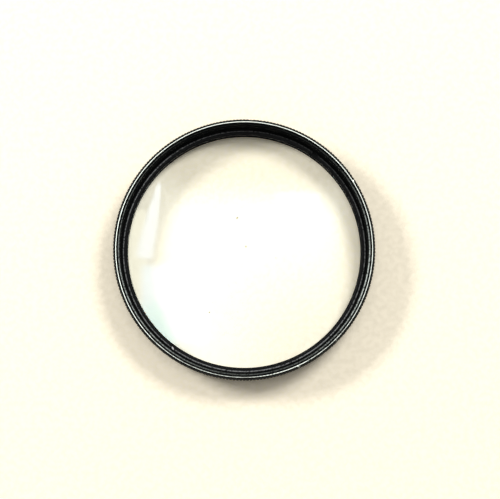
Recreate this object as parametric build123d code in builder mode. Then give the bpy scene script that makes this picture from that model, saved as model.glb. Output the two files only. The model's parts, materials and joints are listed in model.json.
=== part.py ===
from build123d import *

import math
import os

# A screw-in lens filter, lying front side up: the knurled ring stands on the end of its rear
# thread at z = 0, and the screw axis is Z. Lengths are in millimetres.

# Metric fine screw thread, the same size on the front and on the rear
thread_diameter = 52.0
thread_pitch = 0.75
lead_in_width = 0.7
lead_in_depth = 0.7
end_chamfer = 0.3
undercut_width = 0.4
relief_width = 0.5
relief_clearance = 0.05

# Ring: a knurled rim with the rear thread below it
rim_wall = 1.0
rim_height = 5.5
rear_thread_length = 2.4
bevel_width = 0.35
bevel_drop = 0.6
aperture_bevel = 0.25

# Straight knurl round the rim
knurl_count = 240
knurl_depth = 0.15
knurl_land = 0.4

# Glass disc and the ledge that it lies on
glass_thickness = 2.1
glass_bevel = 0.25
glass_clearance = 0.05
seat_thickness = 0.8
seat_width = 0.6

# Retaining ring, screwed down onto the glass
retainer_height = 0.9
retainer_bevel = 0.3
retainer_chamfer = 0.1
retainer_clearance = 0.05
retainer_step = 0.29
retainer_ledge = 0.4
retainer_bite = 0.1
retainer_lead = 0.7
slot_width = 1.2
slot_depth = 0.5
slot_angle = 54.0

# Radii, worked inwards from the thread. A plain wall stands for each thread: the rear one at its
# crests, the front one at its crests too, which are its smallest radius.
rear_radius = thread_diameter / 2
thread_height = math.sqrt(3) / 2 * thread_pitch
rear_root_radius = rear_radius - 17 / 24 * thread_height
front_radius = rear_radius - 5 / 8 * thread_height
relief_radius = rear_radius + relief_clearance
rim_radius = rear_radius + rim_wall
retainer_bore = front_radius - retainer_step
retainer_radius = retainer_bore - retainer_clearance
pocket_radius = retainer_bore - retainer_ledge
glass_radius = pocket_radius - glass_clearance
clear_radius = pocket_radius - seat_width

# Heights, stacked up from the end of the rear thread
shoulder = rear_thread_length
rim_top = shoulder + rim_height
glass_bottom = seat_thickness
glass_top = glass_bottom + glass_thickness
retainer_floor = glass_top - retainer_bite
retainer_top = glass_top + retainer_height
relief_floor = retainer_top + retainer_lead
relief_top = relief_floor + relief_width
bore_lead_floor = relief_floor - (relief_radius - retainer_bore)
undercut_floor = shoulder - undercut_width
crest_end = undercut_floor - (rear_radius - rear_root_radius) * math.tan(math.radians(30))

os.makedirs("parts", exist_ok=True)


# Ring, turned in one piece: rim, front thread, glass pocket with its ledge, and rear thread
with BuildPart() as filter_ring:
    # Rim, with one flat side for each tooth of the knurl, bevelled to both of its edges
    rim_middle = shoulder + rim_height / 2
    bevel_floor = rim_top - bevel_drop
    for height, reach, draw_in in (
        (rim_middle, bevel_floor - rim_middle, 0),
        (bevel_floor, bevel_drop, bevel_width),
    ):
        with BuildSketch(Plane.XY.offset(height)):
            RegularPolygon(rim_radius, knurl_count, major_radius=False, rotation=180 / knurl_count)
        extrude(amount=reach, taper=math.degrees(math.atan2(draw_in, reach)))
    mirror(about=Plane.XY.offset(rim_middle))

    # V grooves along the corners between the flat sides, which run out on the two bevels
    knurl_pitch = 2 * math.pi * rim_radius / knurl_count
    groove_half = (knurl_pitch - knurl_land) / 2
    overrun = knurl_depth / 5
    mouth_half = groove_half * (knurl_depth + overrun) / knurl_depth
    with BuildSketch(Plane.XY.offset(shoulder)):
        with PolarLocations(rim_radius, knurl_count, start_angle=180 / knurl_count):
            Polygon((overrun, -mouth_half), (overrun, mouth_half), (-knurl_depth, 0), align=None)
    extrude(amount=rim_height, mode=Mode.SUBTRACT)

    # Rear thread, with its undercut below the rim's shoulder
    with BuildSketch(Plane.XZ):
        with BuildLine():
            Polyline(
                (0, 0),
                (rear_radius - end_chamfer, 0),
                (rear_radius, end_chamfer),
                (rear_radius, crest_end),
                (rear_root_radius, undercut_floor),
                (rear_root_radius, shoulder),
                (0, shoulder),
                close=True,
            )
        make_face()
    revolve(axis=Axis.Z)

    # Bore, from the rear aperture up to the lead-in of the front thread
    with BuildSketch(Plane.XZ):
        with BuildLine():
            Polyline(
                (0, 0),
                (clear_radius + aperture_bevel, 0),
                (clear_radius, aperture_bevel),
                (clear_radius, glass_bottom),
                (pocket_radius, glass_bottom),
                (pocket_radius, retainer_floor),
                (retainer_bore, retainer_floor),
                (retainer_bore, bore_lead_floor),
                (relief_radius, relief_floor),
                (relief_radius, relief_top),
                (front_radius, relief_top),
                (front_radius, rim_top - lead_in_depth),
                (front_radius + lead_in_width, rim_top),
                (0, rim_top),
                close=True,
            )
        make_face()
    revolve(axis=Axis.Z, mode=Mode.SUBTRACT)

filter_ring.part.label = "filter_ring"


# Glass disc with its ground edge bevels
with BuildPart() as filter_glass:
    with BuildSketch(Plane.XY.offset(glass_bottom)):
        Circle(glass_radius)
    extrude(amount=glass_thickness)
    chamfer(filter_glass.edges().filter_by(GeomType.CIRCLE), length=glass_bevel)

filter_glass.part.label = "filter_glass"


# Retaining ring with the two slots for a pin spanner
with BuildPart() as retaining_ring:
    with BuildSketch(Plane.XZ):
        with BuildLine():
            Polyline(
                (clear_radius, glass_top),
                (clear_radius, retainer_top - retainer_bevel),
                (clear_radius + retainer_bevel, retainer_top),
                (retainer_radius - retainer_chamfer, retainer_top),
                (retainer_radius, retainer_top - retainer_chamfer),
                (retainer_radius, glass_top),
                close=True,
            )
        make_face()
    revolve(axis=Axis.Z)
    slot_length = 2 * (retainer_radius - clear_radius)
    slot_middle = (retainer_radius + clear_radius) / 2
    with BuildSketch(Plane.XY.offset(retainer_top)):
        with PolarLocations(slot_middle, 2, start_angle=slot_angle):
            Rectangle(slot_length, slot_width)
    extrude(amount=-slot_depth, mode=Mode.SUBTRACT)

retaining_ring.part.label = "retaining_ring"


for piece in (filter_ring, filter_glass, retaining_ring):
    export_step(piece.part, f"parts/{piece.part.label}.step")
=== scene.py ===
import json
import math

import bmesh
import bpy
import numpy as np
from bpy.props import FloatProperty, FloatVectorProperty, IntProperty, PointerProperty
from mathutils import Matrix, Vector


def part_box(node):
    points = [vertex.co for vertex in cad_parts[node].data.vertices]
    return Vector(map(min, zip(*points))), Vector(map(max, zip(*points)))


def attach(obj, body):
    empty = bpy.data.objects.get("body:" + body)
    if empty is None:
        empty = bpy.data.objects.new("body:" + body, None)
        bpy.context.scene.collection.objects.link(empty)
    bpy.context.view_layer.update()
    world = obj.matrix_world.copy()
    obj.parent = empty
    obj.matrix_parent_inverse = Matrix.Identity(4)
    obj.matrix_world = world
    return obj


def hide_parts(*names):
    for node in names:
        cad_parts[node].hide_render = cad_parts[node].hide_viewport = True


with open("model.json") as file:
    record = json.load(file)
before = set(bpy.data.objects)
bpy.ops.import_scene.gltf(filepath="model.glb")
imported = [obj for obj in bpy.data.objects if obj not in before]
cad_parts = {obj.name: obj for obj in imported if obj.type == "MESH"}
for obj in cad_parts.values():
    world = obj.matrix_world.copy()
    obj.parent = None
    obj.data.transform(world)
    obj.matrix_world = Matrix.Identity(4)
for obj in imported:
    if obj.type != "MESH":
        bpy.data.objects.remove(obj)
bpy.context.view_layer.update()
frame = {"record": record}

bl_info = {
    "name": "Screw-in lens filter",
    "version": (1, 0, 0),
    "blender": (4, 5, 0),
    "location": "3D View > Sidebar > Lens filter",
    "description": "Builds a knurled screw-in lens filter around its solids, and its stage",
    "category": "Object",
}

MM = 0.001
TURN = 2 * math.pi

# Angle between neighbouring faces past which their edge stays sharp, and the distance at which
# points that fall together become one
SHARP_EDGE = math.radians(20)
SAME_POINT = 0.001 * MM

# Slack between pieces that lie on each other, so that their faces never coincide
AIR = 0.01 * MM

# Columns of the knurl for each column of the rest of the ring, and the distance of the row that
# keeps each end of a tooth straight
KNURL_COLUMNS = 3
KNURL_END = 0.3 * MM

# Outline of a thread over one pitch: the shares at which its crest ends, its root starts and its
# root ends. Then its depth, as a share of the height of the sharp V
OUTER_THREAD = (1 / 8, 23 / 48, 31 / 48)
OUTER_DEPTH = 17 / 24
INNER_THREAD = (1 / 4, 9 / 16, 11 / 16)
INNER_DEPTH = 5 / 8

# How far the edges of the retaining ring are broken
RETAINER_EASE = 0.03 * MM

mounts = {mount["name"]: mount for mount in frame["record"]["mounts"]}
ring_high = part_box("filter_ring")[1]
glass_low, glass_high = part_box("filter_glass")
retainer_low, retainer_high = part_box("retaining_ring")
front_thread = mounts["front_thread"]
front_thread_half = front_thread["dims"]["length_mm"] * MM / 2


# Settings

def length(name, description, default, least=0.0):
    """A length in metres."""
    return FloatProperty(
        name=name, description=description, default=default, min=least, precision=5, unit="LENGTH"
    )


def angle(name, description, default):
    """An angle, given in degrees."""
    return FloatProperty(
        name=name, description=description, default=math.radians(default), unit="ROTATION"
    )


def count(name, description, default):
    """A whole number."""
    return IntProperty(name=name, description=description, default=default, min=12)


def share(name, description, default):
    """A plain number."""
    return FloatProperty(name=name, description=description, default=default, min=0)


def colour(name, description, default):
    """A linear colour."""
    return FloatVectorProperty(
        name=name, description=description, default=default, size=3, min=0, max=1, subtype="COLOR"
    )


class FilterRingSettings(bpy.types.PropertyGroup):
    """Sizes and finish of the knurled ring."""

    rim_radius: length("Rim radius", "From the axis to the tips of the knurl", ring_high.x)
    rim_top: length("Rim top", "Height of the front lip", ring_high.z)
    rim_height: length("Rim height", "From the shoulder to the front lip", 5.5 * MM)
    bevel_width: length("Bevel width", "How far the rim's two bevels draw in", 0.35 * MM)
    bevel_drop: length("Bevel drop", "How high the rim's two bevels are", 0.6 * MM)
    edge_ease: length("Edge ease", "How far sharp turned edges are broken", 0.04 * MM)
    knurl_count: count("Knurl count", "Number of teeth round the rim", 240)
    knurl_depth: length("Knurl depth", "Depth of the V grooves", 0.15 * MM)
    knurl_land: length("Knurl land", "Width of a tooth's tip", 0.4 * MM)
    thread_pitch: length("Thread pitch", "Climb of the two lens threads in one turn", 0.75 * MM)
    front_crest: length(
        "Front crest", "Smallest radius of the front thread", front_thread["dims"]["r_mm"] * MM
    )
    front_floor: length(
        "Front floor", "Height at which the front thread starts",
        front_thread["pos_m"][2] - front_thread_half,
    )
    lead_in_floor: length(
        "Lead-in floor", "Height at which the lead-in of the front thread starts",
        front_thread["pos_m"][2] + front_thread_half,
    )
    lead_in_width: length("Lead-in width", "How far the lead-in opens the front thread", 0.7 * MM)
    rear_crest: length(
        "Rear crest", "Largest radius of the rear thread",
        mounts["rear_thread"]["dims"]["r_mm"] * MM,
    )
    end_chamfer: length("End chamfer", "Bevel at the end of the rear thread", 0.3 * MM)
    undercut: length("Undercut", "Plain groove between the rear thread and the shoulder", 0.4 * MM)
    relief_width: length("Relief width", "Groove below the front thread", 0.5 * MM)
    relief_depth: length("Relief depth", "How far that groove is past the thread's root", 0.05 * MM)
    seat_width: length("Seat width", "Ledge that the glass lies on", 0.6 * MM)
    aperture_bevel: length("Aperture bevel", "Bevel of the rear opening", 0.25 * MM)
    pocket_slack: length("Pocket slack", "Room round the glass and the retaining ring", 0.05 * MM)
    bite: length("Bite", "How far the retaining ring's thread starts below the glass top", 0.1 * MM)
    bore_pitch: length("Bore pitch", "Climb of the retaining ring's thread in one turn", 0.5 * MM)
    bore_depth: length("Bore depth", "Depth of the retaining ring's thread", 0.25 * MM)
    anodised: colour("Anodised", "Dyed black oxide", (0.0025, 0.003, 0.0028))
    # Grime colour: a pale band on the lead-in, some dirt and mostly a painted highlight
    grime_and_highlight_colour: colour("Grime colour", "Dull film on the lead-in", (0.62, 0.68, 0.64))
    # Bare metal: the wear, and on the lip also its painted highlight
    bare_metal: colour("Bare metal", "Aluminium where the oxide is rubbed off", (0.92, 0.97, 0.88))
    outside_black: colour("Outside black", "Dyed black oxide outside", (0.006, 0.0066, 0.0064))
    roughness: share("Roughness", "Of the anodised face", 0.45)
    bare_roughness: share("Bare roughness", "Of the rubbed metal", 0.34)
    gloss: share("Gloss", "Specular level of the matt oxide", 0.03)
    satin_coat: share("Satin coat", "Weight of the satin coat outside", 0.32)


class FilterGlassSettings(bpy.types.PropertyGroup):
    """Sizes and finish of the glass disc."""

    radius: length("Radius", "Outer radius of the disc", glass_high.x)
    bottom: length("Bottom", "Height of the rear face", glass_low.z)
    top: length("Top", "Height of the front face", glass_high.z)
    bevel: length("Bevel", "Ground bevel at both edges", 0.25 * MM)
    columns: count("Columns", "Sides of the disc", 360)
    glass_colour: colour("Glass colour", "Light that passes through", (0.985, 0.995, 0.99))
    dust_colour: colour("Dust colour", "Light that passes a speck of dust", (0.16, 0.16, 0.08))
    coating: colour("Coating", "Tint of the coated faces' reflections", (0.9, 1.0, 0.97))


class RetainingRingSettings(bpy.types.PropertyGroup):
    """Sizes and finish of the slotted ring that holds the glass."""

    radius: length("Radius", "Outer radius", retainer_high.x)
    bottom: length("Bottom", "Height of the face on the glass", retainer_low.z)
    top: length("Top", "Height of the front face", retainer_high.z)
    bevel: length("Bevel", "Inner bevel towards the glass", 0.3 * MM)
    chamfer: length("Chamfer", "Outer edge of the front face", 0.1 * MM)
    slot_width: length("Slot width", "Width of the two spanner slots", 1.2 * MM)
    slot_depth: length("Slot depth", "Depth of the two spanner slots", 0.5 * MM)
    slot_angle: angle("Slot angle", "Turn of the first slot from the X axis", 54)
    columns: count("Columns", "Columns between one slot and the next", 180)
    matt_black: colour("Matt black", "Dyed black oxide, etched", (0.003, 0.0034, 0.0036))
    # Grime colour: a pale band at the outer edge, some dirt and mostly a painted highlight
    grime_and_highlight_colour: colour("Grime colour", "Dull film on its outer edge", (0.32, 0.33, 0.33))
    dust_colour: colour("Dust colour", "Pale dust on the black", (0.16, 0.165, 0.16))
    fleck_colour: colour("Fleck colour", "Pale fleck in one slot", (0.95, 0.96, 0.96))
    roughness: share("Roughness", "Of the etched face", 0.5)


class StageSettings(bpy.types.PropertyGroup):
    """Floor, light and camera."""

    floor_colour: colour("Floor colour", "Warm white table", (0.93, 0.85, 0.68))
    floor_lift: share("Floor lift", "How much paler the table is to the rays that look at it", 1.52)
    ambient: share("Ambient", "Level of the light from all round", 0.23)
    camera_tilt: angle("Camera tilt", "Of the view from the vertical", 5.7)
    camera_distance: length("Camera distance", "From the lens to the ring", 350 * MM)
    view_width: length("View width", "Breadth of the picture at the ring", 102.7 * MM)
    view_offset_x: length(
        "View offset X", "Middle of the picture from the axis, to the right", 1.2 * MM, -1.0
    )
    view_offset_y: length(
        "View offset Y", "Middle of the picture from the axis, to the far side", -0.19 * MM, -1.0
    )


# Surfaces

def turned_zone(outline, columns):
    """Rows that are the same all round, one for each (radius, height) of the outline."""
    radius, height = np.array(outline, float).T
    shape = (len(radius), columns)
    return (
        np.broadcast_to(radius[:, None], shape),
        np.broadcast_to(height[:, None], shape),
        np.arange(len(radius)),
    )


def thread_zone(low, high, pitch, crest, root, outline, turned):
    """Rows that climb with a right-hand screw thread, at the columns' angles `turned`.

    The outline gives the shares of a pitch at which the crest ends, the root starts and the root
    ends. A row keeps its share while it turns: its height is low + pitch * (turn + share + angle /
    full turn), held between the two ends, and its radius is the outline's at that height and
    angle. Where the turn closes, a row meets the one that starts a pitch higher.
    """
    shares = np.array((0, *outline))
    radii = np.array((crest, crest, root, root))
    ends = np.append(shares, 1)
    steps = 2 * len(shares)
    row_shares = np.interp(np.arange(steps) / 2, np.arange(len(ends)), ends)
    turns = math.ceil((high - low) / pitch) + 2
    climb = (np.arange(turns)[:, None] - 1 + row_shares).ravel()
    height = np.clip(low + pitch * (climb[:, None] + turned / TURN), low, high)
    place = ((height - low) / pitch - turned / TURN) % 1
    radius = np.interp(place, ends, np.append(radii, radii[0]))
    return radius, height, np.minimum(np.arange(len(climb)) + steps, len(climb) - 1)


def upside_down(zone):
    """The same rows in the opposite order."""
    radius, height, meets = zone
    return radius[::-1], height[::-1], len(meets) - 1 - meets[::-1]


def stack(*zones):
    """One grid of rows out of several zones."""
    radius, height, meets = zip(*zones)
    starts = np.cumsum([0] + [len(rows) for rows in meets[:-1]])
    joined = np.concatenate([rows + start for rows, start in zip(meets, starts)])
    return np.vstack(radius), np.vstack(height), joined


def eased(outline, ease):
    """The outline with each corner between its ends cut back by `ease` along both of its sides."""
    points = np.array(outline, float)
    along = np.diff(points, axis=0)
    along /= np.linalg.norm(along, axis=1, keepdims=True)
    before = points[1:-1] - ease * along[:-1]
    after = points[1:-1] + ease * along[1:]
    corners = np.stack((before, after), axis=1).reshape(-1, 2)
    return np.vstack((points[:1], corners, points[-1:]))


def around(radius, height, turned):
    """Points at each row's radius and height and each column's angle about Z."""
    points = np.stack(
        (radius * np.cos(turned), radius * np.sin(turned), height + 0 * turned), axis=-1
    )
    return points.reshape(-1, 3)


def grid_faces(index, meets=None, closed=False):
    """Four-sided faces between neighbouring rows and columns of a grid of point numbers.

    The last column joins the first one, at the row that each row meets, and the last row joins
    the first one where the outline is closed.
    """
    beside = np.roll(index, -1, axis=1)
    if meets is not None:
        beside[:, -1] = index[meets, 0]
    if closed:
        index = np.vstack((index, index[:1]))
        beside = np.vstack((beside, beside[:1]))
    corners = (index[:-1], beside[:-1], beside[1:], index[1:])
    return np.stack(corners, axis=-1).reshape(-1, 4)


def strip_faces(few, many):
    """Flat faces between a row of points and a row with KNURL_COLUMNS times as many."""
    closing = np.roll(many, -KNURL_COLUMNS)[::KNURL_COLUMNS]
    return np.column_stack((np.roll(few, -1), few, many.reshape(-1, KNURL_COLUMNS), closing))


def soft_step(value, start, end):
    """0 before start, 1 after end, and straight between them."""
    return np.clip((value - start) / (end - start), 0, 1)


# Pieces

def new_object(name, data):
    """An object in the scene."""
    made = bpy.data.objects.new(name, data)
    bpy.context.scene.collection.objects.link(made)
    return made


def place_piece(name, node, slot, material, points, faces, masks=None):
    """Puts the surface and its masks into a mesh, closes its seams, hangs it under the root body
    and hides its CAD part.
    """
    mesh = bpy.data.meshes.new(name)
    mesh.from_pydata(points, [], [face for group in faces for face in group.tolist()])
    for label, values in (masks or {}).items():
        mask = mesh.attributes.new(label, "FLOAT", "POINT")
        mask.data.foreach_set("value", values.astype(np.float32))
    shell = bmesh.new()
    shell.from_mesh(mesh)
    bmesh.ops.remove_doubles(shell, verts=shell.verts, dist=SAME_POINT)
    bmesh.ops.recalc_face_normals(shell, faces=shell.faces)
    shell.to_mesh(mesh)
    shell.free()
    mesh.shade_smooth()
    mesh.set_sharp_from_angle(angle=SHARP_EDGE)
    mesh.materials.append(material)
    piece = new_object(name, mesh)
    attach(piece, "root")
    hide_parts(node)


def knurl_rows(size, columns_shares):
    """Radius and height of the rim's outside, from the shoulder's edge up to the lip's edge.

    A tooth's radius is rim_radius over its land and falls straight to the bottom of the V groove
    half a pitch away. Each bevel rises from the edge radius, and ends at the height where it
    reaches the tooth's or groove's radius, so the grooves run out on the bevels.
    """
    pitch = TURN * size.rim_radius / size.knurl_count
    land = size.knurl_land / 2 / pitch
    fall = soft_step(np.abs(columns_shares), land, 0.5)
    tooth = size.rim_radius - size.knurl_depth * fall
    edge = size.rim_radius - size.bevel_width
    shoulder = size.rim_top - size.rim_height
    rise = (tooth - edge) * size.bevel_drop / size.bevel_width
    slant = math.hypot(size.bevel_width, size.bevel_drop)
    break_out = size.edge_ease * size.bevel_width / slant
    break_up = size.edge_ease * size.bevel_drop / slant
    inner = edge - size.edge_ease
    outer = edge + break_out
    radius = (inner, outer, tooth, tooth, tooth, tooth, tooth, outer, inner)
    height = (
        shoulder,
        shoulder + break_up,
        shoulder + rise,
        shoulder + rise + KNURL_END,
        shoulder + size.rim_height / 2,
        size.rim_top - rise - KNURL_END,
        size.rim_top - rise,
        size.rim_top - break_up,
        size.rim_top,
    )
    return np.array(np.broadcast_arrays(*radius)), np.array(np.broadcast_arrays(*height))


# The worn line on the lip, which also paints its highlight, in edge eases: where it starts and is
# full, from the inner edge, and where it is still full and ends, from the outer edge
WORN_AND_HIGHLIT_FROM_INSIDE = (0.3, 1.1)
WORN_AND_HIGHLIT_FROM_OUTSIDE = (5.2, 4.4)

# Wear and painted highlight of the lip from 0 to 1, how much it swings round the turn, and the turn
# of its most worn and brightest side in degrees, the far side where the light falls. Then turn,
# spread and change of the stretches that are painted less or more than that
LIP_WEAR_AND_HIGHLIGHT = 0.68
LIP_WEAR_AND_HIGHLIGHT_SWING = 0.14
LIP_WORN_AND_LIT_TURN = 100
LIP_STRETCHES = ((248, 22, -0.07), (289, 11, 0.13))

# Turn and spread of the stretch of the lip that is worn at each tooth of the knurl, painting the
# teeth's glints, and its change
TOOTH_STRETCH = (283, 5)
TOOTH_WEAR_AND_GLINT = 0.25

# Wear of the knurl's tips and of the rear end, each with how deep it reaches, and of the dents
TIP_WEAR = 0.2
TIP_WEAR_DEPTH = 0.03 * MM
REAR_WEAR = 0.35
REAR_WEAR_DEPTH = 0.1 * MM
DENT_WEAR = 0.55

# Dirt and painted highlight on the lead-in: its plain level, turn, spread and depth of the two
# stretches at its near left and near right that hold the most, where the highlight is painted, turn
# and spread of the far stretch that is left dark as it is shaded, how much is missing there, and
# its soft edge
GRIME_AND_HIGHLIGHT_LEVEL = 0.12
GRIME_AND_HIGHLIGHT_STRETCHES = ((347, 32, 0.95), (190, 40, 1.15))
SHADED_STRETCH = (90, 42)
SHADED_SHARE = 0.95
GRIME_AND_HIGHLIGHT_EDGE = 0.05 * MM

# The stretch of the retaining ring where its band of dirt and painted highlight is left off, as it
# is
# shaded: turn and spread, and how much of the band is missing there
RETAINER_SHADED_STRETCH = (60, 50)
RETAINER_SHADED_SHARE = 0.85

# Depth below the lip at which the satin outside is full, in drops of the bevel
SATIN_DEPTH = 1.5

# Dents in the front edge of the rim: turn in degrees, depth and spread
EDGE_DENTS = (
    (315.0, 0.14 * MM, 0.32 * MM),
    (295.0, 0.08 * MM, 0.3 * MM),
    (87.0, 0.07 * MM, 0.25 * MM),
)


def turn_from(bearing, turn):
    """The angle from a turn in degrees, the short way round."""
    return (bearing - math.radians(turn) + math.pi) % TURN - math.pi


def stretch(bearing, turn, spread):
    """1 at a turn in degrees, falling off to both sides in a bell of that spread."""
    return np.exp(-((turn_from(bearing, turn) / math.radians(spread)) ** 2))


def dent(radius, height, turned, size):
    """The rim's radius and height after its dents, and how hard each point is knocked, up to 1 in
    the middle of a dent: a bell shape along the edge and down the bevel."""
    knocked = np.zeros_like(radius)
    for turn, depth, spread in EDGE_DENTS:
        bell = np.exp(
            -(((turn_from(turned, turn) * size.rim_radius) / spread) ** 2)
            - ((height - size.rim_top + size.bevel_drop / 2) / (2 * spread)) ** 2
        )
        radius = radius - depth * bell
        height = height - depth * bell / 2
        knocked = np.maximum(knocked, bell)
    return radius, height, knocked


def filter_ring_surface(size, glass, retainer):
    """Points, faces and masks of the ring: one closed outline carried once round the axis.

    The inside runs from the shoulder through the rear thread, the aperture, the glass pocket and
    the retaining ring's thread up to the front thread and the lip. The knurl closes it outside,
    with KNURL_COLUMNS times as many columns.
    """
    pitch_angle = TURN / size.knurl_count
    tooth_pitch = pitch_angle * size.rim_radius
    land = size.knurl_land / 2 / tooth_pitch
    ease = size.edge_ease / tooth_pitch / 2
    tooth_columns = np.array((-0.5, -land - ease, -land + ease, 0, land - ease, land + ease))
    shares = np.tile(tooth_columns, size.knurl_count)
    knurl_turn = (np.repeat(np.arange(size.knurl_count), len(tooth_columns)) + shares) * pitch_angle
    turned = knurl_turn[::KNURL_COLUMNS]
    columns = len(turned)

    shoulder = size.rim_top - size.rim_height
    sharp_v = math.sqrt(3) / 2 * size.thread_pitch
    rear_root = size.rear_crest - OUTER_DEPTH * sharp_v
    front_root = size.front_crest + INNER_DEPTH * sharp_v
    pocket = glass.radius + size.pocket_slack
    clear = pocket - size.seat_width
    bore = retainer.radius + size.pocket_slack
    bore_floor = glass.top - size.bite
    relief_floor = size.front_floor - size.relief_width
    relief = front_root + size.relief_depth
    bore_top = relief_floor - (relief - bore)

    # Rear thread, cut off by the chamfer at its end and by the undercut's flank
    rear = thread_zone(
        0, shoulder - size.undercut, size.thread_pitch,
        size.rear_crest, rear_root, OUTER_THREAD, turned,
    )
    chamfered = size.rear_crest - size.end_chamfer + rear[1]
    flank = rear_root + (shoulder - size.undercut - rear[1]) * math.sqrt(3)
    rear = (np.minimum(np.minimum(rear[0], chamfered), flank), rear[1], rear[2])

    # Fine thread for the retaining ring
    bore_root = bore + size.bore_depth
    bore_thread = thread_zone(
        bore_floor, bore_top, size.bore_pitch, bore, bore_root, INNER_THREAD, turned
    )

    # Front thread, opened by the lead-in below the lip
    front = thread_zone(
        size.front_floor, size.rim_top, size.thread_pitch,
        size.front_crest, front_root, INNER_THREAD, turned,
    )
    opening = size.lead_in_width / (size.rim_top - size.lead_in_floor)
    lead_in = size.front_crest + opening * (front[1] - size.lead_in_floor)
    front = (np.maximum(front[0], lead_in), front[1], front[2])
    lip_inside = size.front_crest + size.lead_in_width
    lip_outside = size.rim_radius - size.bevel_width
    worn_and_highlit_line = (
        *(lip_inside + eases * size.edge_ease for eases in WORN_AND_HIGHLIT_FROM_INSIDE),
        *(lip_outside - eases * size.edge_ease for eases in WORN_AND_HIGHLIT_FROM_OUTSIDE),
    )

    aperture = (
        (size.rear_crest - size.end_chamfer, 0),
        (clear + size.aperture_bevel, 0),
        (clear, size.aperture_bevel),
        (clear, glass.bottom - AIR),
        (pocket, glass.bottom - AIR),
        (pocket, bore_floor),
        (bore, bore_floor),
    )
    undercut = turned_zone(((rear_root, shoulder), (rear_root, shoulder - size.undercut)), columns)
    inside = stack(
        undercut,
        upside_down(rear),
        turned_zone(eased(aperture, size.edge_ease)[1:-1], columns),
        bore_thread,
        turned_zone(((relief, relief_floor), (relief, size.front_floor)), columns),
        front,
        turned_zone([(reach, size.rim_top) for reach in worn_and_highlit_line], columns),
    )
    rim_radius, rim_height = knurl_rows(size, shares)
    rim_radius, rim_height, knocked = dent(rim_radius, rim_height, knurl_turn, size)

    points = np.vstack((around(*inside[:2], turned), around(rim_radius, rim_height, knurl_turn)))
    inner = np.arange(inside[0].size).reshape(inside[0].shape)
    outer = inside[0].size + np.arange(rim_radius.size).reshape(rim_radius.shape)
    faces = (
        grid_faces(inner, inside[2]),
        grid_faces(outer),
        strip_faces(inner[0], outer[0]),
        strip_faces(inner[-1], outer[-1]),
    )

    # Wear and painted highlight: the front lip most, a worn line that also paints its highlight,
    # more on its far side where the light falls; then plain wear on the tips of the knurl, the
    # dents and the rear end
    reach = np.hypot(points[:, 0], points[:, 1])
    bearing = np.arctan2(points[:, 1], points[:, 0])
    lip = soft_step(points[:, 2], shoulder, size.rim_top - size.bevel_drop)
    lip *= soft_step(reach, *worn_and_highlit_line[:2]) * soft_step(-reach, -worn_and_highlit_line[3], -worn_and_highlit_line[2])
    amount = LIP_WEAR_AND_HIGHLIGHT + LIP_WEAR_AND_HIGHLIGHT_SWING * np.cos(bearing - math.radians(LIP_WORN_AND_LIT_TURN))
    for turn, spread, change in LIP_STRETCHES:
        amount += change * stretch(bearing, turn, spread)
    teeth = TOOTH_WEAR_AND_GLINT * np.cos(size.knurl_count * bearing)
    lip *= amount + teeth * stretch(bearing, *TOOTH_STRETCH)
    tips = TIP_WEAR * soft_step(reach, size.rim_radius - TIP_WEAR_DEPTH, size.rim_radius)
    end = REAR_WEAR * soft_step(-points[:, 2], -REAR_WEAR_DEPTH, 0)
    hit = DENT_WEAR * np.concatenate((np.zeros(inner.size), knocked.ravel()))
    rubbed = np.maximum.reduce((lip, tips, end, hit))

    # Dirt and painted highlight: on the lead-in, most at its near left and near right, where the
    # highlight is painted, and little on the far, shaded side
    film = np.full(len(points), GRIME_AND_HIGHLIGHT_LEVEL)
    for turn, spread, depth in GRIME_AND_HIGHLIGHT_STRETCHES:
        film += depth * stretch(bearing, turn, spread)
    film *= 1 - SHADED_SHARE * stretch(bearing, *SHADED_STRETCH)
    film *= soft_step(
        points[:, 2], size.lead_in_floor - GRIME_AND_HIGHLIGHT_EDGE, size.lead_in_floor + GRIME_AND_HIGHLIGHT_EDGE
    )

    # Satin: the outside alone, which is the undercut, the rear thread and the knurl below the lip
    outside = np.arange(len(inner)) < len(undercut[2]) + len(rear[2])
    below = soft_step(size.rim_top - rim_height.ravel(), 0, SATIN_DEPTH * size.bevel_drop)
    satin = np.concatenate((np.repeat(outside, columns), below))
    return points, faces, {"rubbed": rubbed, "film": film, "satin": satin}


def filter_glass_surface(size):
    """Points and faces of the disc: its outline from pole to pole, carried round the axis."""
    bottom = size.bottom + AIR
    top = size.top - AIR
    outline = (
        (0, bottom),
        (size.radius - size.bevel, bottom),
        (size.radius, bottom + size.bevel),
        (size.radius, top - size.bevel),
        (size.radius - size.bevel, top),
        (0, top),
    )
    radius, height, meets = turned_zone(outline, size.columns)
    turned = np.arange(size.columns) * TURN / size.columns
    index = np.arange(radius.size).reshape(radius.shape)
    return around(radius, height, turned), (grid_faces(index, meets),)


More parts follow.
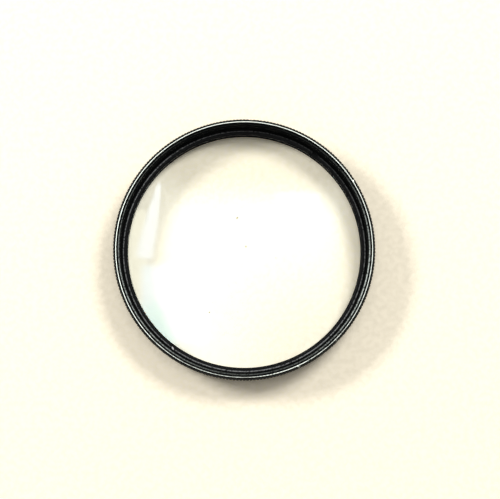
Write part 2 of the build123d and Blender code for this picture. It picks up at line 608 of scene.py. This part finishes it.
def retaining_ring_surface(size, clear):
    """Points, faces and masks of the slotted ring: a closed outline carried round the axis.

    At each side of a slot two columns stand at the same angle, asin(half the slot's width /
    radius) from the slot's middle. The inner one has its heights cut down to the slot's floor.
    """
    outline = eased(
        (
            (clear, size.bottom),
            (clear, size.top - size.bevel),
            (clear + size.bevel, size.top),
            (size.radius - size.chamfer, size.top),
            (size.radius, size.top - size.chamfer),
            (size.radius, size.bottom),
        ),
        RETAINER_EASE,
    )
    half = size.slot_width / 2
    opening = math.asin(half / clear)
    plain = np.linspace(opening, math.pi - opening, size.columns + 2)[1:-1]
    turned = np.concatenate((np.zeros(4), plain))
    turned = size.slot_angle + np.concatenate((turned, turned + math.pi))
    between = [0] * size.columns
    side = np.array([-half, -half, half, half, *between] * 2)
    cut = np.array([0, 1, 1, 0, *between] * 2, bool)
    radius, height, meets = turned_zone(outline, len(turned))
    height = np.where(cut, np.minimum(height, size.top - size.slot_depth), height)
    index = np.arange(radius.size).reshape(radius.shape)
    points = around(radius, height, turned + np.arcsin(side / radius))
    bearing = np.arctan2(points[:, 1], points[:, 0])
    # Pale band at the top of the outer edge: dirt and a painted highlight, left off on one shaded
    # stretch
    film = soft_step(points[:, 2], size.top - 2 * size.chamfer, size.top - size.chamfer)
    film *= 1 - RETAINER_SHADED_SHARE * stretch(bearing, *RETAINER_SHADED_STRETCH)
    return points, (grid_faces(index, meets, True),), {"film": film}


# Materials

# Range of the turning marks' height, and how deep it is
MARKS_RANGE = (0.1, 0.45)
MARKS_DEPTH = 0.02 * MM

# Edge wear: mean of its grain and marks, and the wear at which the finish starts to go and is gone
WEAR_MEAN = 0.75
WEAR_STEP = (0.3, 0.75)

# Soft edges: of a speck of dust and of a spot, as shares of their size, and of a band of dirt and
# painted highlight
SPECK_EDGE = 0.04
SPOT_EDGE = 0.6
BAND_EDGE = 0.03 * MM

# Band of dirt and painted highlight on the lead-in, from the crest of the front thread outwards,
# and on the retaining ring, inwards and outwards from its outer radius
LEAD_IN_BAND = (0.13 * MM, 0.34 * MM)
RETAINER_BAND = (0.26 * MM, 0.1 * MM)

# Glass, the roughness of a speck on it, the specular level of the retaining ring, and how much
# light the dull parts of the table keep
GLASS_IOR = 1.5
SPECK_ROUGHNESS = 0.5
RETAINER_GLOSS = 0.08
TABLE_MOTTLE = 0.9


def add_node(tree, kind, inputs=None, **attributes):
    """Adds a node, sets its attributes, and sets or links the inputs given by name or number. A
    colour is given without its alpha."""
    made = tree.nodes.new(kind)
    for name, value in attributes.items():
        setattr(made, name, value)
    for name, value in (inputs or {}).items():
        socket = made.inputs[name]
        if isinstance(value, bpy.types.NodeSocket):
            tree.links.new(value, socket)
        else:
            socket.default_value = (*value, 1.0) if socket.type == "RGBA" else value
    return made


def calculate(tree, operation, *values, clamp=False):
    """The result of a Math node."""
    made = add_node(
        tree, "ShaderNodeMath", dict(enumerate(values)), operation=operation, use_clamp=clamp
    )
    return made.outputs[0]


def map_range(tree, value, start, end, low=0.0, high=1.0):
    """The value carried smoothly from start and end to low and high."""
    inputs = {"Value": value, "From Min": start, "From Max": end, "To Min": low, "To Max": high}
    made = add_node(tree, "ShaderNodeMapRange", inputs, interpolation_type="SMOOTHSTEP")
    return made.outputs["Result"]


def mix_colours(tree, factor, first, second):
    """The first colour where the factor is 0, the second where it is 1."""
    made = add_node(tree, "ShaderNodeMix", {0: factor, 6: first, 7: second}, data_type="RGBA")
    return made.outputs[2]


def mix_values(tree, factor, first, second):
    """The first value where the factor is 0, the second where it is 1."""
    made = add_node(tree, "ShaderNodeMix", {0: factor, 2: first, 3: second}, data_type="FLOAT")
    return made.outputs[0]


def noise(tree, vector, scale, detail=2.0):
    """The value of a noise at Object coordinates."""
    inputs = {"Vector": vector, "Scale": scale, "Detail": detail}
    return add_node(tree, "ShaderNodeTexNoise", inputs).outputs[0]


def marks_roughness(tree, marks, roughness, less, more):
    """The roughness of a face with turning marks: less in their floors and more on their tops."""
    return map_range(tree, marks, *MARKS_RANGE, roughness - less, roughness + more)


def marks_normal(tree, marks, strength):
    """The normal of a face with turning marks."""
    inputs = {"Height": marks, "Strength": strength, "Distance": MARKS_DEPTH}
    return add_node(tree, "ShaderNodeBump", inputs).outputs[0]


def mesh_mask(tree, name):
    """The mask of that name that the piece's mesh carries."""
    return add_node(tree, "ShaderNodeAttribute", attribute_name=name).outputs["Fac"]


def axis_distance(tree, vector):
    """The distance of a place from the Z axis."""
    level = add_node(
        tree, "ShaderNodeVectorMath", {0: vector, 1: (1.0, 1.0, 0.0)}, operation="MULTIPLY"
    )
    made = add_node(tree, "ShaderNodeVectorMath", {0: level.outputs[0]}, operation="LENGTH")
    return made.outputs["Value"]


def new_group(name, output, **inputs):
    """An empty shader node group that is given a place and the numbers named, with their defaults,
    and puts out one number. Returns its tree, what it is given and the socket of its result."""
    tree = bpy.data.node_groups.new(name, "ShaderNodeTree")
    tree.interface.new_socket("Vector", in_out="INPUT", socket_type="NodeSocketVector")
    for label, default in inputs.items():
        socket = tree.interface.new_socket(label, in_out="INPUT", socket_type="NodeSocketFloat")
        socket.default_value = default
    tree.interface.new_socket(output, in_out="OUTPUT", socket_type="NodeSocketFloat")
    given = tree.nodes.new("NodeGroupInput").outputs
    return tree, given, tree.nodes.new("NodeGroupOutput").inputs[output]


def turning_marks_group():
    """Fine rings left by the lathe: a noise of radius + height, so it runs round the axis on faces,
    bevels and walls alike, broken up by a slower noise along them."""
    tree, given, result = new_group("turning_marks", "Height", Scale=5000.0)
    parts = add_node(tree, "ShaderNodeSeparateXYZ", {0: given["Vector"]})
    radius = axis_distance(tree, given["Vector"])
    across = calculate(tree, "ADD", radius, parts.outputs["Z"])
    inputs = {"W": across, "Scale": given["Scale"], "Detail": 3.0}
    rings = add_node(tree, "ShaderNodeTexNoise", inputs, noise_dimensions="1D")
    patches = noise(tree, given["Vector"], scale=900.0)
    tree.links.new(calculate(tree, "MULTIPLY", rings.outputs[0], patches), result)
    return tree


def edge_wear_group():
    """Where the finish is worn through, and on the lip also where a highlight is painted as bare
    metal:
    the wear of the edge, raised and lowered by a noise and by the lathe's rings, and taken in a
    soft step."""
    tree, given, result = new_group(
        "edge_wear", "Mask", Rubbed=0.0, Marks=0.0, Scale=600.0, Roughen=0.5
    )
    grain = noise(tree, given["Vector"], given["Scale"], detail=3.0)
    uneven = calculate(tree, "ADD", grain, given["Marks"])
    centred = calculate(tree, "SUBTRACT", uneven, WEAR_MEAN)
    offset = calculate(tree, "MULTIPLY", centred, given["Roughen"])
    worn = calculate(tree, "ADD", given["Rubbed"], offset)
    tree.links.new(map_range(tree, worn, *WEAR_STEP), result)
    return tree


def dust_group():
    """Specks of dust: cells whose middle is nearer than their own random size."""
    tree, given, result = new_group("dust", "Mask", Scale=800.0, Amount=0.3)
    inputs = {"Vector": given["Vector"], "Scale": given["Scale"]}
    cells = add_node(tree, "ShaderNodeTexVoronoi", inputs)
    chance = add_node(tree, "ShaderNodeSeparateColor", {0: cells.outputs["Color"]})
    grown = calculate(tree, "SUBTRACT", given["Amount"], chance.outputs[0], clamp=True)
    speck = calculate(tree, "SUBTRACT", grown, cells.outputs["Distance"])
    tree.links.new(map_range(tree, speck, -SPECK_EDGE, SPECK_EDGE), result)
    return tree


def spots_mask(tree, place, spots):
    """1 inside a few small ellipsoids. Each is given by its radius from the axis, turn in degrees,
    height, half-length, half-breadth, half-height, and slant in degrees from its circle."""
    mask = 0.0
    for radius, turn, height, long, broad, deep, slant in spots:
        bearing = math.radians(turn)
        centre = (radius * math.cos(bearing), radius * math.sin(bearing), height)
        local = add_node(
            tree, "ShaderNodeMapping",
            {
                "Vector": place,
                "Location": centre,
                "Rotation": (0.0, 0.0, bearing + math.radians(90 + slant)),
                "Scale": (long, broad, deep),
            },
            vector_type="TEXTURE",
        )
        away = add_node(tree, "ShaderNodeVectorMath", {0: local.outputs[0]}, operation="LENGTH")
        spot = map_range(tree, away.outputs["Value"], 1.0, SPOT_EDGE)
        mask = calculate(tree, "MAXIMUM", mask, spot)
    return mask


def settled_grime_and_highlight_group():
    """A pale band between two radii, patchy by a fine noise: dirt and a painted highlight."""
    tree, given, result = new_group(
        "settled_grime", "Mask", Film=0.0, Inside=0.0, Outside=0.0, Scale=3000.0
    )
    radius = axis_distance(tree, given["Vector"])
    from_inside = calculate(tree, "SUBTRACT", radius, given["Inside"])
    from_outside = calculate(tree, "SUBTRACT", given["Outside"], radius)
    depth = calculate(tree, "MINIMUM", from_inside, from_outside)
    band = map_range(tree, depth, -BAND_EDGE, BAND_EDGE)
    grain = noise(tree, given["Vector"], given["Scale"], detail=3.0)
    patches = map_range(tree, grain, start=0.3, end=0.6)
    film = calculate(tree, "MULTIPLY", given["Film"], band)
    tree.links.new(calculate(tree, "MULTIPLY", film, patches), result)
    return tree


GROUP_MAKERS = {
    "turning_marks": turning_marks_group,
    "edge_wear": edge_wear_group,
    "dust": dust_group,
    "settled_grime": settled_grime_and_highlight_group,
}


def new_material(name):
    """A node material with nothing in it yet, its tree, its output and its Object coordinates."""
    material = bpy.data.materials.new(name)
    material.use_nodes = True
    tree = material.node_tree
    tree.nodes.clear()
    output = tree.nodes.new("ShaderNodeOutputMaterial").inputs["Surface"]
    place = tree.nodes.new("ShaderNodeTexCoord").outputs["Object"]
    return material, tree, output, place


def use_group(tree, name, **inputs):
    """The output of a shared group placed in the tree. The group is made when first asked for."""
    group = bpy.data.node_groups.get(name) or GROUP_MAKERS[name]()
    return add_node(tree, "ShaderNodeGroup", inputs, node_tree=group).outputs[0]


# Bare spots on the lip, a fleck in one slot of the retaining ring, and dust on the glass: radius,
# turn in degrees, height, half-length, half-breadth, half-height and slant in degrees
LIP_SPOTS = (
    (26.5 * MM, 32.0, ring_high.z, 0.3 * MM, 0.2 * MM, 0.2 * MM, 0.0),
    (26.45 * MM, 294.5, ring_high.z, 0.12 * MM, 0.3 * MM, 0.2 * MM, 15.0),
)
RETAINER_FLECKS = ((25.08 * MM, 233.9, retainer_high.z, 0.5 * MM, 0.2 * MM, 2 * MM, -24.0),)
GLASS_SPECKS = (
    (7.1 * MM, 102.0, glass_high.z, 0.3 * MM, 0.22 * MM, 0.2 * MM, 30.0),
    (1.0 * MM, 70.0, glass_high.z, 0.27 * MM, 0.2 * MM, 0.2 * MM, 0.0),
    (14.7 * MM, 240.5, glass_high.z, 0.25 * MM, 0.18 * MM, 0.2 * MM, 40.0),
)


def anodised_material(size):
    """Black oxide with lathe rings, matt inside and satin outside, worn to bare metal where the
    wear is high, which on the lip also paints its highlight, and with a pale band of dirt and
    painted highlight on the lead-in."""
    material, tree, output, place = new_material("satin_black_anodised")
    marks = use_group(tree, "turning_marks", Vector=place)
    # Bare metal: wear, and on the lip also its painted highlight
    worn = use_group(
        tree, "edge_wear",
        Vector=place, Rubbed=mesh_mask(tree, "rubbed"), Marks=marks, Scale=4500.0, Roughen=0.5,
    )
    bare = calculate(tree, "MAXIMUM", worn, spots_mask(tree, place, LIP_SPOTS))
    # Pale band on the lead-in: dirt and a painted highlight
    grime_and_highlight = use_group(
        tree, "settled_grime",
        Vector=place, Film=mesh_mask(tree, "film"),
        Inside=size.front_crest + LEAD_IN_BAND[0], Outside=size.front_crest + LEAD_IN_BAND[1],
    )
    satin = mesh_mask(tree, "satin")
    black = mix_colours(tree, satin, size.anodised, size.outside_black)
    oxide = mix_colours(tree, grime_and_highlight, black, size.grime_and_highlight_colour)
    surface = mix_colours(tree, bare, oxide, size.bare_metal)
    sheen = marks_roughness(tree, marks, size.roughness, less=0.06, more=0.08)
    shader = add_node(
        tree, "ShaderNodeBsdfPrincipled",
        {
            "Base Color": surface,
            "Metallic": bare,
            "Roughness": mix_values(tree, bare, sheen, size.bare_roughness),
            "Specular IOR Level": size.gloss,
            "Coat Weight": calculate(tree, "MULTIPLY", satin, size.satin_coat),
            "Coat Roughness": size.roughness,
            "Normal": marks_normal(tree, marks, strength=0.25),
        },
    )
    tree.links.new(shader.outputs[0], output)
    return material


def matt_black_material(size):
    """Etched black oxide with pale dust in it, a pale band of dirt and painted highlight at its
    outer edge, and a pale fleck in one slot.
    """
    material, tree, output, place = new_material("matt_black_anodised")
    marks = use_group(tree, "turning_marks", Vector=place, Scale=3500.0)
    specks = use_group(tree, "dust", Vector=place, Scale=2200.0, Amount=0.2)
    cloud = map_range(tree, noise(tree, place, scale=450.0, detail=4.0), start=0.35, end=0.7)
    dusty = calculate(tree, "MULTIPLY", specks, cloud)
    # Pale band at the outer edge: dirt and a painted highlight
    grime_and_highlight = use_group(
        tree, "settled_grime",
        Vector=place, Film=mesh_mask(tree, "film"),
        Inside=size.radius - RETAINER_BAND[0], Outside=size.radius + RETAINER_BAND[1],
    )
    oxide = mix_colours(tree, grime_and_highlight, size.matt_black, size.grime_and_highlight_colour)
    black = mix_colours(tree, dusty, oxide, size.dust_colour)
    fleck = spots_mask(tree, place, RETAINER_FLECKS)
    shader = add_node(
        tree, "ShaderNodeBsdfPrincipled",
        {
            "Base Color": mix_colours(tree, fleck, black, size.fleck_colour),
            "Roughness": marks_roughness(tree, marks, size.roughness, less=0.08, more=0.1),
            "Specular IOR Level": RETAINER_GLOSS,
            "Normal": marks_normal(tree, marks, strength=0.3),
        },
    )
    tree.links.new(shader.outputs[0], output)
    return material


def coated_glass_material(size):
    """Clear coated glass with a few specks of dust, which lets the lamps' light through."""
    material, tree, output, place = new_material("coated_glass")
    fine = use_group(tree, "dust", Vector=place, Scale=160.0, Amount=0.06)
    specks = calculate(tree, "MAXIMUM", fine, spots_mask(tree, place, GLASS_SPECKS))
    glass = add_node(
        tree, "ShaderNodeBsdfPrincipled",
        {
            "Base Color": mix_colours(tree, specks, size.glass_colour, size.dust_colour),
            "Roughness": mix_values(tree, specks, 0.0, SPECK_ROUGHNESS),
            "IOR": GLASS_IOR,
            "Transmission Weight": 1.0,
            "Specular Tint": size.coating,
        },
    )
    clear = add_node(tree, "ShaderNodeBsdfTransparent", {"Color": size.glass_colour})
    path = tree.nodes.new("ShaderNodeLightPath").outputs
    through = calculate(tree, "MAXIMUM", path["Is Shadow Ray"], path["Is Diffuse Ray"])
    mixed = add_node(
        tree, "ShaderNodeMixShader", {0: through, 1: glass.outputs[0], 2: clear.outputs[0]}
    )
    tree.links.new(mixed.outputs[0], output)
    return material


def seen_rays(tree):
    """1 for a ray from the camera, a reflection or a view through glass, 0 for a ray of light."""
    path = tree.nodes.new("ShaderNodeLightPath").outputs
    seen = calculate(tree, "ADD", path["Is Camera Ray"], path["Is Glossy Ray"], clamp=True)
    return calculate(tree, "ADD", seen, path["Is Transmission Ray"], clamp=True)


def table_material(stage):
    """Warm white table with a faint mottle, paler to the rays that look at it than to the light."""
    material, tree, output, place = new_material("warm_white_table")
    mottle = map_range(tree, noise(tree, place, scale=900.0, detail=5.0), start=0.3, end=0.7)
    dull = tuple(TABLE_MOTTLE * part for part in stage.floor_colour)
    surface = mix_colours(tree, mottle, dull, stage.floor_colour)
    lift = mix_values(tree, seen_rays(tree), 1.0, stage.floor_lift)
    shown = add_node(tree, "ShaderNodeVectorMath", {0: surface, "Scale": lift}, operation="SCALE")
    shader = add_node(tree, "ShaderNodeBsdfDiffuse", {"Color": shown.outputs[0]})
    tree.links.new(shader.outputs[0], output)
    return material


# Stage

# Breadth of the table and its drop below the ring, breadth of the camera's sensor in millimetres,
# colour of the surround, and corners of a sheet in halves of its sides
FLOOR_SIZE = 8.0
FLOOR_DROP = 0.02 * MM
SENSOR_WIDTH = 36.0
SURROUND = (1.0, 0.99, 0.96)
SQUARE = ((-1, -1), (1, -1), (1, 1), (-1, 1))

# Lamps: name, turn and elevation in degrees, distance, breadth and spread in degrees, and power
LAMPS = (
    ("side_lamp", 154, 39.4, 0.7, 20, 11, 2.1),
    ("far_lamp", 48, 53, 0.7, 22, 16, 1.97),
    ("overhead_softbox", 90, 81, 1.1, 24, 24, 1.5),
)

# Cards that the glass reflects, the lowest first, because a lower one hides a higher one: name, low
# and high corner, turn in degrees, share of the breadth that is lost towards the far end, soft edge
# and glow
CARD_HEIGHT = 0.35
CARD_STEP = 2 * MM
REFLECTED_CARDS = (
    ("left_pane_low", (-0.047, -0.008), (-0.024, 0.017), 0, 0, 0.008, (2.2, 4.4, 5.0)),
    ("left_pane", (-0.046, -0.005), (-0.014, 0.031), 0, 0, 0.005, (3.8, 4.7, 5.9)),
    ("left_wedge", (-0.0448, 0.0298), (-0.0348, 0.065), -11.4, 0.85, 0.0035, (4.4, 4.7, 5.7)),
    ("right_pane", (0.0106, 0.035), (0.0324, 0.061), 0, 0, 0.003, (3.0, 3.2, 3.6)),
    ("left_edge", (-0.064, 0.0), (-0.0405, 0.054), 0, 0, 0.003, (3.6, 3.5, 3.0)),
    ("left_flag", (-0.066, 0.004), (-0.024, 0.076), 0, 0, 0.016, (1.9, 1.9, 1.8)),
    ("right_flag", (0.032, -0.02), (0.09, 0.09), 0, 0, 0.014, (0.0, 0.0, 0.0)),
    ("near_right_flag", (-0.036, -0.12), (0.11, 0.058), 0, 0, 0.06, (0.9, 0.9, 0.9)),
    ("far_flag", (-0.1, 0.048), (0.1, 0.14), 0, 0, 0.022, (0.0, 0.0, 0.0)),
)


def flat_sheet(name, corners, material):
    """A sheet with one flat face between four corners."""
    mesh = bpy.data.meshes.new(name)
    mesh.from_pydata(corners, [], [(0, 1, 2, 3)])
    mesh.materials.append(material)
    return new_object(name, mesh)


def build_floor(stage):
    """A flat table under the ring."""
    half = FLOOR_SIZE / 2
    corners = [(x * half, y * half, -FLOOR_DROP) for x, y in SQUARE]
    floor = flat_sheet("table", corners, table_material(stage))


def build_lamp(name, turn, elevation, distance, breadth, spread, power):
    """An oval soft lamp that looks at the ring from a turn and elevation in degrees. Its breadth
    and spread are the angles that it fills as the ring sees it, across and up."""
    light = bpy.data.lights.new(name, "AREA")
    light.shape = "ELLIPSE"
    light.size = 2 * distance * math.tan(math.radians(breadth) / 2)
    light.size_y = 2 * distance * math.tan(math.radians(spread) / 2)
    light.energy = power
    lamp = new_object(name, light)
    bearing = math.radians(turn)
    height = math.radians(elevation)
    level = math.cos(height)
    towards = Vector((math.cos(bearing) * level, math.sin(bearing) * level, math.sin(height)))
    lamp.location = towards * distance
    lamp.rotation_euler = towards.to_track_quat("Z", "Y").to_euler()


def card_material(name, half, taper, soft, glow):
    """A card that glows evenly, narrows towards its far end and fades out towards its edges: its
    breadth is 1 - taper * far ** 2, where far runs from 0 at the near end to 1 at the far end."""
    material, tree, output, place = new_material(name)
    parts = add_node(tree, "ShaderNodeSeparateXYZ", {0: place})
    along = parts.outputs["Y"]
    far = calculate(tree, "MULTIPLY_ADD", along, 0.5 / half[1], 0.5)
    breadth = calculate(tree, "MULTIPLY_ADD", calculate(tree, "MULTIPLY", far, far), -taper, 1.0)
    across = calculate(tree, "DIVIDE", parts.outputs["X"], breadth)
    inside = 1.0
    for part, reach in zip((across, along), half):
        off = calculate(tree, "ABSOLUTE", part)
        edge = map_range(tree, off, reach - soft, reach, 1.0, 0.0)
        inside = calculate(tree, "MULTIPLY", inside, edge)
    emission = add_node(tree, "ShaderNodeEmission", {"Color": glow})
    clear = tree.nodes.new("ShaderNodeBsdfTransparent")
    mixed = add_node(
        tree, "ShaderNodeMixShader", {0: inside, 1: clear.outputs[0], 2: emission.outputs[0]}
    )
    tree.links.new(mixed.outputs[0], output)
    return material


def build_card(name, low, high, turn, taper, soft, glow, height):
    """A level card over the ring that only reflections show: a pane of light, or a dark flag."""
    half = ((high[0] - low[0]) / 2, (high[1] - low[1]) / 2)
    corners = [(x * half[0], y * half[1], 0) for y, x in SQUARE]
    card = flat_sheet(name, corners, card_material(name, half, taper, soft, glow))
    card.location = (low[0] + half[0], low[1] + half[1], height)
    card.rotation_euler.z = math.radians(turn)
    for kind in ("camera", "diffuse", "volume_scatter", "shadow"):
        setattr(card, f"visible_{kind}", False)


def build_world(stage):
    """A pale surround: white to the rays that look at it, dim as a light."""
    world = bpy.data.worlds.new("pale_surround")
    world.use_nodes = True
    tree = world.node_tree
    tree.nodes.clear()
    output = tree.nodes.new("ShaderNodeOutputWorld").inputs["Surface"]
    level = mix_values(tree, seen_rays(tree), stage.ambient, 1.0)
    background = add_node(tree, "ShaderNodeBackground", {"Color": SURROUND, "Strength": level})
    tree.links.new(background.outputs[0], output)
    bpy.context.scene.world = world


def build_camera(stage):
    """A long lens that looks down at the ring, tilted towards the near side."""
    data = bpy.data.cameras.new("camera")
    data.sensor_width = SENSOR_WIDTH
    data.lens = SENSOR_WIDTH * stage.camera_distance / stage.view_width
    camera = new_object("camera", data)
    back = Vector((0, -math.sin(stage.camera_tilt), math.cos(stage.camera_tilt)))
    target = Vector((stage.view_offset_x, stage.view_offset_y, ring_high.z))
    camera.location = target + back * stage.camera_distance
    camera.rotation_euler = back.to_track_quat("Z", "Y").to_euler()
    bpy.context.scene.camera = camera


# Operators

class LENSFILTER_OT_ring(bpy.types.Operator):
    """Build the knurled ring with its threads."""

    bl_idname = "lensfilter.ring"
    bl_label = "Filter ring"

    def execute(self, context):
        scene = context.scene
        size = scene.filter_ring
        place_piece(
            "filter_ring_turned", "filter_ring", "anodised_ring", anodised_material(size),
            *filter_ring_surface(size, scene.filter_glass, scene.retaining_ring),
        )
        return {"FINISHED"}


class LENSFILTER_OT_glass(bpy.types.Operator):
    """Build the glass disc."""

    bl_idname = "lensfilter.glass"
    bl_label = "Filter glass"

    def execute(self, context):
        size = context.scene.filter_glass
        place_piece(
            "filter_glass_disc", "filter_glass", "clear_glass", coated_glass_material(size),
            *filter_glass_surface(size),
        )
        return {"FINISHED"}


class LENSFILTER_OT_retainer(bpy.types.Operator):
    """Build the slotted ring that holds the glass."""

    bl_idname = "lensfilter.retainer"
    bl_label = "Retaining ring"

    def execute(self, context):
        scene = context.scene
        size = scene.retaining_ring
        ring = scene.filter_ring
        clear = scene.filter_glass.radius + ring.pocket_slack - ring.seat_width
        place_piece(
            "retaining_ring_slotted", "retaining_ring", "matt_black_ring",
            matt_black_material(size), *retaining_ring_surface(size, clear),
        )
        return {"FINISHED"}


class LENSFILTER_OT_stage(bpy.types.Operator):
    """Build the table, the lamps, the surround and the camera."""

    bl_idname = "lensfilter.stage"
    bl_label = "Stage"

    def execute(self, context):
        stage = context.scene.filter_stage
        build_floor(stage)
        for lamp in LAMPS:
            build_lamp(*lamp)
        for step, card in enumerate(REFLECTED_CARDS):
            build_card(*card, CARD_HEIGHT + step * CARD_STEP)
        build_world(stage)
        build_camera(stage)
        context.scene.view_settings.view_transform = "Standard"
        return {"FINISHED"}


class LENSFILTER_PT_panel(bpy.types.Panel):
    """Lists the filter's pieces and its stage."""

    bl_idname = "LENSFILTER_PT_panel"
    bl_label = "Lens filter"
    bl_space_type = "VIEW_3D"
    bl_region_type = "UI"
    bl_category = "Lens filter"

    def draw(self, context):
        for operator, group, _ in STEPS:
            box = self.layout.box()
            box.operator(operator.bl_idname)
            settings = getattr(context.scene, group)
            for name in settings.bl_rna.properties.keys():
                if name not in ("rna_type", "name"):
                    box.prop(settings, name)


# Operator of each step in order, and the name and class of its settings
STEPS = (
    (LENSFILTER_OT_ring, "filter_ring", FilterRingSettings),
    (LENSFILTER_OT_glass, "filter_glass", FilterGlassSettings),
    (LENSFILTER_OT_retainer, "retaining_ring", RetainingRingSettings),
    (LENSFILTER_OT_stage, "filter_stage", StageSettings),
)


def register():
    """Adds the classes, and the settings to the scene."""
    for operator, name, settings in STEPS:
        bpy.utils.register_class(settings)
        bpy.utils.register_class(operator)
        setattr(bpy.types.Scene, name, PointerProperty(type=settings))
    bpy.utils.register_class(LENSFILTER_PT_panel)


def unregister():
    """Takes the settings and the classes away again."""
    bpy.utils.unregister_class(LENSFILTER_PT_panel)
    for operator, name, settings in reversed(STEPS):
        delattr(bpy.types.Scene, name)
        bpy.utils.unregister_class(operator)
        bpy.utils.unregister_class(settings)


def main():
    """Builds the pieces and the stage."""
    register()
    bpy.ops.lensfilter.ring()
    bpy.ops.lensfilter.glass()
    bpy.ops.lensfilter.retainer()
    bpy.ops.lensfilter.stage()


if __name__ == "__main__":
    main()
